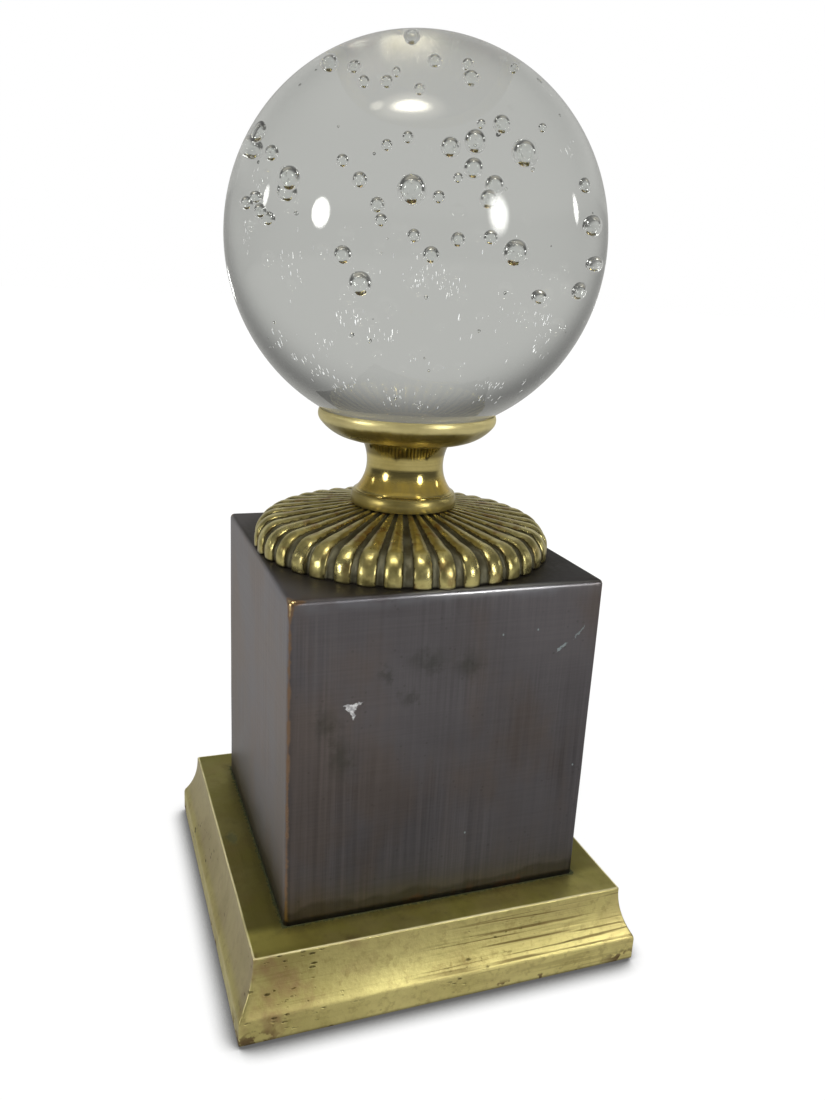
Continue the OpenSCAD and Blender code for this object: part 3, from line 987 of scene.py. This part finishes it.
def make_cup(material):
    """The turned dish: a seat cut to the ball, a rounded side and a rounded rim."""
    seat_r = BALL_R + 0.3 * MM
    pocket_r = seat_r + 0.9 * MM
    side_r, rim_round = 12.5 * MM, 2.7 * MM
    rim_r, rim_z = CUP_HI[0] + 0.1 * MM, CUP_HI[2]
    pocket_edge = SEAT_HI[0] + 0.1 * MM
    boss_r, boss_z, hole_r, hole_z = 5 * MM, CUP_LO[2], 3 * MM, CUP_Z - 0.4 * MM
    ease, axis_r = 0.3 * MM, 0.0005 * MM
    foot_z = CUP_Z + NECK_RISE
    rim_x = rim_r - rim_round
    edge_x = math.sqrt(seat_r**2 - (BALL_C.z - rim_z) ** 2)
    rim_mid = rim_z - math.sqrt(rim_round**2 - (edge_x - rim_x) ** 2)
    inset = side_r - rim_round
    turn = math.asin((rim_mid - foot_z - side_r) / inset)
    foot_r = rim_x - inset * math.cos(turn)
    edge_turn = math.degrees(math.asin((rim_z - rim_mid) / rim_round))
    turn = math.degrees(turn)
    outline = [(hole_r, hole_z), (hole_r, boss_z + ease), (hole_r + ease, boss_z)]
    outline += [(boss_r - ease, boss_z), (boss_r, boss_z + ease), (boss_r, foot_z)]
    outline += arc(foot_r, foot_z + side_r, side_r, -90, turn, 40)
    outline += arc(rim_x, rim_mid, rim_round, turn, edge_turn, 16)[1:]
    outline += sphere_zone(seat_r, edge_x - 0.1 * MM, pocket_edge, 6)
    outline += sphere_zone(pocket_r, pocket_edge, 0.4 * MM, 24)
    outline += [(axis_r, BALL_C.z - pocket_r), (axis_r, hole_z)]
    outline = spaced(outline, TURN_GAP)
    # The wear paint, strongest at the rim, also places the cup's painted highlight below the rim.
    wear = [fade(abs(z - rim_z), 4.2 * MM) for _, z in outline]
    cup = lathe("turned_cup", outline, material, wear=wear)
    stand_for(cup, "ball_cup")


def sphere_zone(radius, r_from, r_to, steps):
    """Points on the underside of a sphere about the ball's centre, between two distances from the axis."""
    return [
        (r, BALL_C.z - math.sqrt(radius * radius - r * r))
        for r in np.linspace(r_from, r_to, steps + 1)
    ]


def make_spool(material):
    """The waisted neck: two hollow curves, with crisp turned edges at the foot and head."""
    waist, foot, top, waist_h = 10.8 * MM, SPOOL_HI[0], 12.6 * MM, 7.9 * MM
    top_z = SPOOL_HI[2] + NECK_RISE
    height = top_z - SPOOL_Z
    upper = height - waist_h
    low_curve = ((foot - waist) ** 2 + waist_h**2) / (2 * (foot - waist))
    top_curve = ((top - waist) ** 2 + upper**2) / (2 * (top - waist))
    low_angle = math.degrees(math.asin(waist_h / low_curve))
    top_angle = math.degrees(math.asin(upper / top_curve))
    socket, socket_z = 5.15 * MM, SPOOL_HI[2] - 6.7 * MM
    outline = [(BORE, SPOOL_Z), (foot - 0.25 * MM, SPOOL_Z), (foot, SPOOL_Z + 0.25 * MM)]
    outline += arc(waist + low_curve, SPOOL_Z + waist_h, low_curve, 180 + low_angle - 1.5, 180, 24)
    outline += arc(waist + top_curve, SPOOL_Z + waist_h, top_curve, 180, 180 - top_angle + 1, 20)[1:]
    outline += [(top - 0.1 * MM, top_z), (socket, top_z)]
    outline += [(socket, socket_z), (BORE, socket_z)]
    outline = spaced(outline, TURN_GAP)
    wear = [fade(z - SPOOL_Z, 1.5 * MM) if r > BORE * 2 else 0.0 for r, z in outline]
    spool = lathe("waisted_spool", outline, material, wear=wear)
    stand_for(spool, "neck_spool")


def make_ring(material):
    """The low ring under the spool: a barrel side between two eased edges."""
    side_r, bulge_z, ease, height = 4 * MM, 1.6 * MM, 0.2 * MM, RING_HI[2] - RING_Z
    middle = RING_HI[0] - side_r
    low = math.degrees(math.asin(-(bulge_z - 0.15 * MM) / side_r))
    high = math.degrees(math.asin((height - bulge_z - 0.15 * MM) / side_r))
    side = arc(middle, RING_Z + bulge_z, side_r, low, high, 16)
    outline = [(BORE, RING_Z), (side[0][0] - ease, RING_Z)] + side
    outline += [(side[-1][0] - ease, RING_HI[2]), (BORE, RING_HI[2])]
    outline = spaced(outline, TURN_GAP)
    wear = [fade(abs(z - RING_HI[2]), 0.4 * MM) - 0.8 for _, z in outline]
    ring = lathe("neck_seating_ring", outline, material, wear=wear)
    stand_for(ring, "neck_ring")


def make_seat(material):
    """The leather ring: thin, domed to the ball, with soft edges."""
    top_r, low_r = BALL_R + 0.3 * MM, BALL_R + 1.2 * MM
    inner, outer, ease = 12 * MM, SEAT_HI[0], 0.25 * MM
    upper = sphere_zone(top_r, outer - ease, inner + ease, 20)
    lower = sphere_zone(low_r, inner + ease, outer - ease, 20)
    middle = (top_r + low_r) / 2
    outline = upper + sphere_zone(middle, inner, inner, 0)
    outline += lower + sphere_zone(middle, outer, outer, 0)
    seat = lathe("leather_seat_ring", outline, material)
    stand_for(seat, "ball_seat")


# ---- ribbed disc ----

# How many ribs, and the first one's angle in ribs
RIBS = 38
RIB_START = 0.24

# Columns of points across a rib's top and down its side, as shares of each
RIB_TOP = [-1, -0.9, -0.72, -0.45, -0.15, 0.15, 0.45, 0.72, 0.9, 1]
RIB_SIDE = [0.33, 0.66, 1.0]

# Shares of the rib's height that its top is rounded by and that its valley is raised by
RIB_CROWN = 0.36
RIB_SHELF = 0.07

# A rib's half width and its side's width, in ribs, near the neck and how they change outwards
RIB_HALF, RIB_WIDENS = 0.262, 0.056
SIDE_WIDTH, SIDE_NARROWS = 0.095, 0.022

# The way along a rib, in mm, at which it has its full width, and where its worn end, painted bright as a
# highlight too, starts
FULL_AT, RUB_AND_HIGHLIGHT_FROM, RUB_AND_HIGHLIGHT_OVER = 22, 14, 8

# The valleys' depth near the neck, and how much it grows outwards
DEEP_START, DEEP_MORE = 0.55 * MM, 0.90 * MM

# Knocks near the left front and the right: place above the disc's foot, width and depth
KNOCKS = [
    ((-0.0350, -0.0215, 0.0075), 2.2 * MM, -0.5 * MM),
    ((0.0370, -0.0150, 0.0070), 2.4 * MM, -0.45 * MM),
]


def rib_columns(half, side, to_left, to_right):
    """Places across one rib and its two half valleys, and the height there from 0 to 1."""
    foot = half + side
    slope = [RIB_SHELF + (1 - RIB_CROWN - RIB_SHELF) * (1 - smooth(part)) for part in RIB_SIDE]
    down_side = [(half + side * part, height) for part, height in zip(RIB_SIDE, slope)]
    columns = []
    for share in (1.0, 0.5):
        columns.append((-foot - share * (to_left - foot), RIB_SHELF * (1 - share**2)))
    columns += [(-off, height) for off, height in reversed(down_side)]
    columns += [(half * share, 1 - RIB_CROWN * abs(share) ** 2.4) for share in RIB_TOP]
    columns += down_side
    columns.append((foot + 0.5 * (to_right - foot), RIB_SHELF * 0.75))
    return columns


def smooth(share):
    """A share from 0 to 1 with its start and end eased."""
    share = min(1.0, max(0.0, share))
    return share * share * (3 - 2 * share)


def disc_outlines():
    """The disc's outline over a rib's crest, from the hub to the foot, and its hollow underside."""
    rim_r, rim_z, hub, hub_drop = 7.0 * MM, 2.0 * MM, 14.2 * MM, 0.05 * MM
    hollow_r, hollow_h, boss = 34 * MM, 5.4 * MM, 7 * MM
    disc_r, disc_h = DISC_HI[0], DISC_HI[2] - DISC_Z
    rim_x = disc_r - rim_r
    slope = math.degrees(math.atan((disc_h - rim_z - rim_r) / (rim_x - 15 * MM)))
    top = [(hub, disc_h - hub_drop)] + arc(rim_x, rim_z, rim_r, 90 - slope, 0, 26) + [(disc_r, 0.0)]
    under = [(hollow_r, 0), (hollow_r, hollow_h), (boss, hollow_h), (boss, 0)]
    under += [(BORE, 0), (BORE, disc_h - hub_drop)]
    return spaced(top, 0.5 * MM), under


def make_disc(material):
    """The cast disc: broad rounded ribs that run out from the neck, roll over and end on the block."""
    rng = random.Random(5)
    centres = [i + RIB_START + rng.uniform(-0.05, 0.05) for i in range(RIBS)]
    widths = [rng.uniform(0.94, 1.05) for _ in range(RIBS)]
    heights = [rng.uniform(-0.12, 0.12) * MM for _ in range(RIBS)]
    top, under = disc_outlines()
    lengths = np.cumsum([0] + [math.dist(a, b) for a, b in zip(top, top[1:])]) / MM
    count, per_rib = len(top) + len(under), 1 + 2 * len(RIB_SIDE) + len(RIB_TOP) + 2
    verts = [None] * (RIBS * per_rib * count)
    groove, wear = [0.0] * len(verts), [0.0] * len(verts)
    for rib in range(RIBS):
        to_left = ((centres[rib] - centres[rib - 1]) % RIBS) / 2
        to_right = ((centres[(rib + 1) % RIBS] - centres[rib]) % RIBS) / 2
        for k, (r, z) in enumerate(top):
            out = min(1.0, lengths[k] / FULL_AT)
            half = (RIB_HALF + RIB_WIDENS * out) * widths[rib]
            side = SIDE_WIDTH - SIDE_NARROWS * out
            deep = DEEP_START + DEEP_MORE * out
            before, after = top[max(k - 1, 0)], top[min(k + 1, len(top) - 1)]
            nr, nz = Vector((before[1] - after[1], after[0] - before[0])).normalized()
            for c, (off, lift) in enumerate(rib_columns(half, side, to_left, to_right)):
                a = (centres[rib] + off) * 2 * math.pi / RIBS
                place = Vector((r * math.cos(a), r * math.sin(a), z))
                uneven = noise.noise(place * 260) * 0.16 * MM + heights[rib] * lift
                down = deep * (1 - lift) + uneven * out - dent(place) * lift
                down = max(down, 0.02 * MM)
                at = (rib * per_rib + c) * count + k
                rr, zz = r - nr * down, z - nz * down
                verts[at] = (rr * math.cos(a), rr * math.sin(a), DISC_Z + max(zz, 0.0))
                groove[at] = 1 - lift
                # Wear paint on the rib tops' outer ends, which also carries their painted highlight.
                wear[at] = lift * smooth((lengths[k] - RUB_AND_HIGHLIGHT_FROM) / RUB_AND_HIGHLIGHT_OVER)
        for c, (off, _) in enumerate(rib_columns(0.32, 0.07, to_left, to_right)):
            a = (centres[rib] + off) * 2 * math.pi / RIBS
            for k, (r, z) in enumerate(under):
                at = (rib * per_rib + c) * count + len(top) + k
                verts[at] = (r * math.cos(a), r * math.sin(a), DISC_Z + z)
                groove[at] = 1.0
    paint = {"groove": groove, "wear": wear}
    disc = finish_mesh("gadrooned_disc", verts, ring_faces(RIBS * per_rib, count), material, paint)
    stand_for(disc, "fluted_disc")


def dent(place):
    """How much the knocks raise a place on the ribs: negative, because they are hollows."""
    depth = 0.0
    for at, size, deep in KNOCKS:
        depth += deep * math.exp(-((place - Vector(at)).length / size) ** 2)
    return depth


# ---- block, plinth and felt ----


def make_block(material):
    """The bronze box: softly rounded edges, faces a hair off flat, open underneath."""
    edge, wall, roof = 1.4 * MM, 2.4 * MM, 3 * MM
    side_rows, edge_rows, roof_rows = 46, 8, 29
    shown = side_rows + edge_rows + roof_rows
    low, high = BLOCK_Z, BLOCK_HI[2]
    outline = [(BLOCK_HALF, z, edge) for z in np.linspace(low, high - edge, side_rows)]
    for r, z in arc(BLOCK_HALF - edge, high - edge, edge, 0, 90, edge_rows)[1:]:
        outline.append((r, z, max(edge - (BLOCK_HALF - r), 0.02 * MM)))
    for half in np.linspace(BLOCK_HALF - edge, 0.4 * MM, roof_rows + 1)[1:]:
        outline.append((half, high, 0.02 * MM))
    inner = BLOCK_HALF - wall
    outline.append((0.4 * MM, high - roof, 0.02 * MM))
    outline += [(inner, high - roof, 0.3 * MM), (inner, low, 0.3 * MM)]

    def wobble(point, k):
        if k >= shown or k == 0:
            return Vector((0, 0, 0))
        amount = 0.10 * MM * soft_waves(point, 16 * MM, 1.7)
        is_side = k < side_rows + edge_rows / 2
        outward = Vector((point.x, point.y, 0)) if is_side else Vector((0, 0, 1))
        return -outward.normalized() * abs(amount) * min(1.0, k / 6)

    near_corner = Vector((-BLOCK_HALF, -BLOCK_HALF, high))
    corner_size = 5 * MM

    def wear(point, k):
        if k >= shown:
            return 0.0
        from_sides = [BLOCK_HALF - abs(point.x), BLOCK_HALF - abs(point.y), high - point.z]
        from_sides.sort()
        edge_gap = from_sides[1]
        near_edge = point.x < 0 and point.y < 0 and high - point.z > 2 * MM
        width, strength = (1.8 * MM, 0.88) if near_edge else (1.3 * MM, 0.58)
        rub = fade(edge_gap, width) * strength
        if from_sides[2] < corner_size and high - point.z < corner_size:
            rub += 0.35 * fade(from_sides[2], corner_size)
        if abs(point.z - high) < 1.5 * MM and from_sides[2] > corner_size:
            rub *= 0.30
        rub += 0.5 * fade((point - near_corner).length, corner_size)
        return rub

    # Painted highlight along the top front edge: how strong it is at each point.
    def edge_highlight(point, k):
        if k >= shown or point.y > 0:
            return 0.0
        along = smooth((point.x + 0.026) / 0.030) * (1 - 0.5 * smooth((point.x - 0.010) / 0.030))
        off_edge = math.hypot(point.y + BLOCK_HALF - 0.4 * MM, point.z - high + 0.4 * MM)
        return along * fade(off_edge, 1.9 * MM)

    paint = {"wear": wear, "edge_highlight": edge_highlight}
    block = square_loft("bronze_block", outline, material, 60, 6, wobble, paint)
    stand_for(block, "block_shell")


def make_plinth(material):
    """The moulded plinth: a crisp top edge, a cove, a rounded crest and a lip, hollow below."""
    lip_round, crest, lip_h = 0.6 * MM, 2.8 * MM, 7.6 * MM
    lip_out = 4.3 * MM
    top_half = LIP_HALF - lip_out
    height = BLOCK_Z - PLINTH_Z
    cove_h = height - lip_h
    cove_r = (lip_out**2 + cove_h**2) / (2 * lip_out)
    crest_drop = math.sqrt(2 * lip_out * (cove_r + crest) - lip_out**2)
    lean = math.degrees(math.asin(crest_drop / (cove_r + crest)))
    inner = top_half - 4 * MM
    roof_z = BLOCK_Z - 4 * MM
    ease = 0.45 * MM
    side = [(inner, PLINTH_Z)]
    side += arc(LIP_HALF - lip_round, PLINTH_Z + lip_round, lip_round, -90, 0, 6)
    side += arc(LIP_HALF - crest, BLOCK_Z - ease - crest_drop, crest, 0, lean, 8)
    side += arc(top_half + cove_r, BLOCK_Z - ease, cove_r, 180 + lean, 180, 30)
    side += arc(top_half - ease, BLOCK_Z - ease, ease, 15, 90, 7)
    side = spaced(side, 1.2 * MM)
    shown = len(side)
    side += spaced([(top_half - 2 * ease, BLOCK_Z), (BLOCK_HALF - 2 * MM, BLOCK_Z)], 1.4 * MM)
    flat_end = len(side)
    side += [(0.4 * MM, BLOCK_Z), (0.4 * MM, roof_z), (inner, roof_z)]
    outline = [(half, z, 0.45 * MM if i < flat_end else 0.1 * MM) for i, (half, z) in enumerate(side)]

    def wobble(point, k):
        if k < 2 or k >= shown:
            return Vector((0, 0, 0))
        outward = Vector((point.x, point.y, 0)).normalized()
        return -outward * abs(soft_waves(point, 11 * MM, 4.1)) * 0.10 * MM

    # The wear paint also places the painted highlight along the top edge and the mitres.
    def wear(point, k):
        if k >= flat_end or k == 0:
            return 0.0
        mitre = abs(abs(point.x) - abs(point.y))
        rub = 0.6 * fade(mitre, 1.0 * MM) if k < shown else 0.0
        rub = max(rub, 1 - (BLOCK_Z - point.z) / (0.5 * MM) if k < shown else 0.0)
        crest_gap = abs(point.z - (PLINTH_Z + lip_h)) / (2.2 * MM)
        rub = max(rub, 0.35 * (1 - crest_gap))
        if k >= shown:
            rub = 1 - (top_half - max(abs(point.x), abs(point.y))) / (0.9 * MM)
        return max(0.0, rub)

    plinth = square_loft("moulded_plinth", outline, material, 70, 4, wobble, {"wear": wear})
    stand_for(plinth, "plinth")


def make_felt(material):
    """The felt under the plinth, its cut edge a little fuzzy."""
    half, low, high = FELT_HI[0], FELT_LO[2], FELT_HI[2]
    ease = 0.25 * MM
    corner, under_rows = 2 * MM, 14
    cut_edge = range(under_rows + 1, under_rows + 4)
    outline = [(0.4 * MM, low, 0.1 * MM)]
    outline += [(h, low, corner * h / half) for h in np.linspace(4 * MM, half - ease, under_rows)]
    outline += [(half, low + ease, corner), (half, high - ease, corner), (half - ease, high, corner)]
    outline += [(h, high, corner * h / half) for h in np.linspace(half - 5 * MM, 4 * MM, 8)]
    outline += [(0.4 * MM, high, 0.1 * MM)]

    def wobble(point, k):
        if k in cut_edge:
            out = Vector((point.x, point.y, 0)).normalized()
            return -out * 0.15 * MM * abs(math.sin(point.x * 2100) * math.cos(point.y * 1900))
        return Vector((0, 0, 0))

    felt = square_loft("felt_pad", outline, material, 90, 6, wobble, {})
    stand_for(felt, "base_felt")


# ---- fixings: the CAD solids, with better materials ----


def paint_fixings():
    """Gives the rod, nut, washers, base plate and screws their steel."""
    zinc = steel("zinc_steel", rgb(0.62, 0.62, 0.64), rgb(0.42, 0.42, 0.45), 0.28)
    spring = steel("spring_steel", rgb(0.20, 0.20, 0.21), rgb(0.11, 0.10, 0.10), 0.40)
    plate = steel("plate_steel", rgb(0.46, 0.47, 0.49), rgb(0.30, 0.30, 0.32), 0.35)
    screw = steel("screw_steel", rgb(0.66, 0.58, 0.36), rgb(0.42, 0.36, 0.22), 0.30)
    looks = {"tie_rod": zinc, "rod_washer": zinc, "rod_nut": zinc}
    looks |= {"rod_lock_washer": spring, "base_plate": plate, "base_screws": screw}
    for node, material in looks.items():
        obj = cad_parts[node]
        if not obj.material_slots:
            obj.data.materials.append(material)
        for holder in obj.material_slots:
            holder.material = material


# ---- stage and light ----

# The room as metal and glass see it: pale round the way the camera looks, dim elsewhere,
# with a warm patch of ceiling at the back
BACKDROP = Vector((0.310, 0.826, -0.470))
PALE = 0.49
DIM = 0.090
CEILING = 0.28
ROOM_TINT = rgb(1.0, 1.0, 0.960)
CEILING_TINT = rgb(1.0, 0.95, 0.80)

# How far the floor's contact shadow reaches
SHADOW_REACH = 0.009

# Soft lamps: the way to each, the way its width runs, half its width and height as sines,
# its level, and how far its rim is blurred, as a share
LAMPS = [
    ((-0.951, -0.241, 0.192), (0.26, -0.96, 0.07), 0.098, 0.124, 18.0, 0.14),
    ((0.444, -0.859, 0.262), (0.89, 0.46, 0.01), 0.092, 0.145, 18.0, 0.45),
    ((-0.174, -0.232, 0.957), (0.91, -0.40, 0.07), 0.125, 0.064, 17.0, 0.45),
    ((-0.174, -0.232, 0.957), (0.91, -0.40, 0.07), 0.200, 0.125, 3.5, 0.55),
    ((-0.379, -0.082, 0.922), (0.65, -0.73, 0.20), 0.045, 0.045, 4.0, 0.50),
    ((-0.852, 0.463, 0.243), (0.45, 0.89, -0.12), 0.036, 0.062, 10.0, 0.30),
    ((0.966, -0.059, 0.250), (0.09, 0.99, -0.11), 0.040, 0.078, 9.0, 0.30),
]


def dot(n, direction, axis, size=1.0):
    """How far a direction reaches along an axis, in units of size."""
    return Number(n, n.vector("DOT_PRODUCT", "Value", direction, Vector(axis) / size))


def backdrop_share(n, direction):
    """1 where a direction points into the pale backdrop, 0 where it points into the dim room."""
    return n.ramp(dot(n, direction, BACKDROP), 0.08, 0.7)


def lamp_glow(n, direction, towards, across, half_w, half_h, level, blur):
    """The brightness of one soft oval lamp, with a blurred rim, seen along a direction."""
    centre = Vector(towards).normalized()
    side = (Vector(across) - centre * centre.dot(Vector(across))).normalized()
    x, y = dot(n, direction, side, half_w), dot(n, direction, centre.cross(side), half_h)
    reach = n.length(x, y)
    glow = n.ramp(reach, 1 + blur, 1 - blur, 0, level)
    return glow * n.ramp(dot(n, direction, centre), 0.2, 0.5)


def make_floor():
    """A plain pale floor. Direct views see it white with soft shadows; glass and metal see a table."""
    n = Nodes(bpy.data.materials.new("pale_floor"), "OutputMaterial")
    reach = Number(n, n.vector("LENGTH", "Value", n.place))
    openness = n.make("AmbientOcclusion", Distance=SHADOW_REACH)
    openness.samples = 16
    near = n.ramp(openness.outputs["AO"], 0.46, 0.93, 0.1, 0.96)
    lift = n.make("Emission", Strength=n.most(near, n.ramp(reach, 0.12, 0.3)))
    diffuse = n.make("BsdfDiffuse", Color=rgb(0.06, 0.06, 0.06))
    seen = n.make("AddShader")
    n.put(seen.inputs[0], diffuse.outputs[0])
    n.put(seen.inputs[1], lift.outputs[0])
    outward = n.vector("NORMALIZE", "Vector", n.place)
    table = n.most(n.ramp(reach, 1.7, 0.7), backdrop_share(n, outward))
    glow = n.make("Emission", Color=ROOM_TINT, Strength=n.ramp(table, 0, 1, DIM, PALE))
    n.show(seen, glow)
    bm = bmesh.new()
    bmesh.ops.create_grid(bm, x_segments=8, y_segments=8, size=6)
    add_object("studio_floor", bm, n.owner, smooth=False)


def make_world():
    """White where looked at directly; otherwise a dim room with a pale backdrop and lamps."""
    n = Nodes(bpy.data.worlds.new("studio"), "OutputWorld")
    direction = n.coords["Generated"]
    warm = n.ramp(n.axis("Z", direction), 0.6, 0.97)
    ceiling = warm * n.ramp(n.axis("Y", direction), -0.25, 0.25)
    level = n.ramp(backdrop_share(n, direction), 0, 1, DIM, PALE)
    level += ceiling * CEILING
    for lamp in LAMPS:
        level += lamp_glow(n, direction, *lamp)
    room = n.make("Background", Color=n.blend(warm, ROOM_TINT, CEILING_TINT), Strength=level)
    n.show(n.make("Background", Color=rgb(1, 1, 1)), room)
    world = n.owner
    world.cycles.sampling_method = "MANUAL"
    world.cycles.sample_map_resolution = 1024
    bpy.context.scene.world = world


def soft_box(name, direction, distance, size, power):
    """A soft light that faces the ball; mirrors see the lamps in the surroundings instead."""
    data = bpy.data.lights.new(name, "AREA")
    data.shape = "DISK"
    data.size = size
    data.energy = power
    light = bpy.data.objects.new(name, data)
    away = Vector(direction).normalized()
    light.location = BALL_C + away * distance
    light.rotation_mode = "QUATERNION"
    light.rotation_quaternion = away.to_track_quat("Z", "Y")
    light.visible_glossy = False
    light.visible_transmission = False
    bpy.context.scene.collection.objects.link(light)


def make_lights():
    """Three soft lights, for what isn't mirrored."""
    soft_box("overhead", (-0.205, -0.28, 0.938), 0.84, 0.4, 3.6)
    soft_box("left_lamp", (-0.943, -0.276, 0.25), 0.84, 0.3, 1.6)
    soft_box("right_lamp", (0.419, -0.879, 0.35), 0.84, 0.4, 3.2)


# ---- the object ----


bubbles = make_ball(glass_material())
make_glowing_seeds(glowing_seed_material(), bubbles)
make_cup(cup_brass())
make_spool(spool_brass())
make_ring(ring_brass())
make_seat(leather_material())
make_disc(disc_brass())
make_block(patina_bronze())
make_plinth(plinth_brass())
make_felt(felt_material())
paint_fixings()
make_floor()
make_world()
make_lights()

bpy.context.scene.view_settings.view_transform = "Standard"
